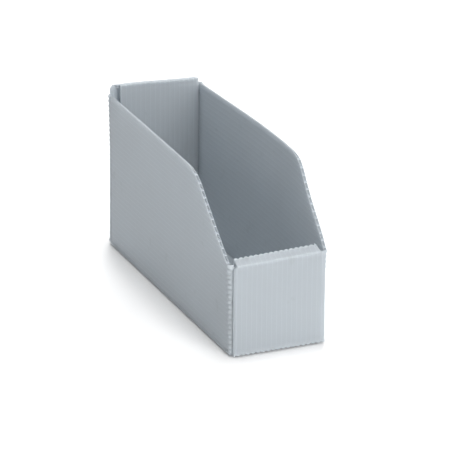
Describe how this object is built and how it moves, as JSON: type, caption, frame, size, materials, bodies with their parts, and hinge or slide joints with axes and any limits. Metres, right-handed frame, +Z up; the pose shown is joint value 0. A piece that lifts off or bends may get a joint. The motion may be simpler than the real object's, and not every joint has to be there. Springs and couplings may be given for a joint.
{
  "type": "folded storage bin",
  "caption": "Narrow open-fronted shelf bin folded from fluted twin-wall polypropylene sheet, with slanted sides and roll-over double end walls.",
  "frame": {"origin": "middle of the base's underside", "axes": "+X across the bin to the right seen from its front, +Y from the open front to the rear, +Z up"},
  "size_m": [0.095, 0.3, 0.1638],
  "materials": {
    "sheet": "satin translucent fluted sheet",
    "crease": "stress-whitened living hinge"
  },
  "bodies": {
    "base": {"base": "sheet", "left_base_hinge": "crease", "right_base_hinge": "crease", "front_base_hinge": "crease", "rear_base_hinge": "crease"},
    "left_side": {"left_side": "sheet", "left_front_flap": "sheet", "left_rear_flap": "sheet", "left_front_hinge": "crease", "left_rear_hinge": "crease"},
    "right_side": {"right_side": "sheet", "right_front_flap": "sheet", "right_rear_flap": "sheet", "right_front_hinge": "crease", "right_rear_hinge": "crease"},
    "front_outer_wall": {"front_outer_wall": "sheet", "front_outer_hem_hinge": "crease"},
    "front_hem": {"front_hem": "sheet", "front_inner_hem_hinge": "crease"},
    "front_inner_wall": {"front_inner_wall": "sheet", "front_lock_tabs": "sheet"},
    "rear_outer_wall": {"rear_outer_wall": "sheet", "rear_outer_hem_hinge": "crease"},
    "rear_hem": {"rear_hem": "sheet", "rear_inner_hem_hinge": "crease"},
    "rear_inner_wall": {"rear_inner_wall": "sheet", "rear_lock_tabs": "sheet"}
  },
  "joints": [
    {"name": "left_side_fold", "type": "hinge", "parent": "base", "child": "left_side", "pos_m": [-0.0475, 0, 0], "axis": [0, -1, 0], "range_deg": [0, 86], "deforming": ["left_base_hinge"]},
    {"name": "right_side_fold", "type": "hinge", "parent": "base", "child": "right_side", "pos_m": [0.0475, 0, 0], "axis": [0, 1, 0], "range_deg": [0, 86], "deforming": ["right_base_hinge"]},
    {"name": "front_wall_drop", "type": "hinge", "parent": "base", "child": "front_outer_wall", "pos_m": [0, -0.15, 0], "axis": [1, 0, 0], "range_deg": [0, 90], "deforming": ["front_base_hinge"]},
    {"name": "front_hem_unfold", "type": "hinge", "parent": "front_outer_wall", "child": "front_hem", "pos_m": [0, -0.15, 0.089], "axis": [1, 0, 0], "range_deg": [0, 64.5], "deforming": ["front_outer_hem_hinge"]},
    {"name": "front_inner_wall_unfold", "type": "hinge", "parent": "front_hem", "child": "front_inner_wall", "pos_m": [0, -0.1396, 0.094], "axis": [1, 0, 0], "range_deg": [0, 115.8], "deforming": ["front_inner_hem_hinge", "front_lock_tabs"]},
    {"name": "rear_wall_drop", "type": "hinge", "parent": "base", "child": "rear_outer_wall", "pos_m": [0, 0.15, 0], "axis": [-1, 0, 0], "range_deg": [0, 90], "deforming": ["rear_base_hinge"]},
    {"name": "rear_hem_unfold", "type": "hinge", "parent": "rear_outer_wall", "child": "rear_hem", "pos_m": [0, 0.15, 0.161], "axis": [-1, 0, 0], "range_deg": [0, 74.1], "deforming": ["rear_outer_hem_hinge"]},
    {"name": "rear_inner_wall_unfold", "type": "hinge", "parent": "rear_hem", "child": "rear_inner_wall", "pos_m": [0, 0.1396, 0.164], "axis": [-1, 0, 0], "range_deg": [0, 106.2], "deforming": ["rear_inner_hem_hinge", "rear_lock_tabs"]}
  ],
  "couplings": [
    {"joint": "front_hem_unfold", "follows": "front_wall_drop", "ratio": 0.7147},
    {"joint": "front_inner_wall_unfold", "follows": "front_wall_drop", "ratio": 1.2853},
    {"joint": "rear_hem_unfold", "follows": "rear_wall_drop", "ratio": 0.8212},
    {"joint": "rear_inner_wall_unfold", "follows": "rear_wall_drop", "ratio": 1.1788}
  ]
}
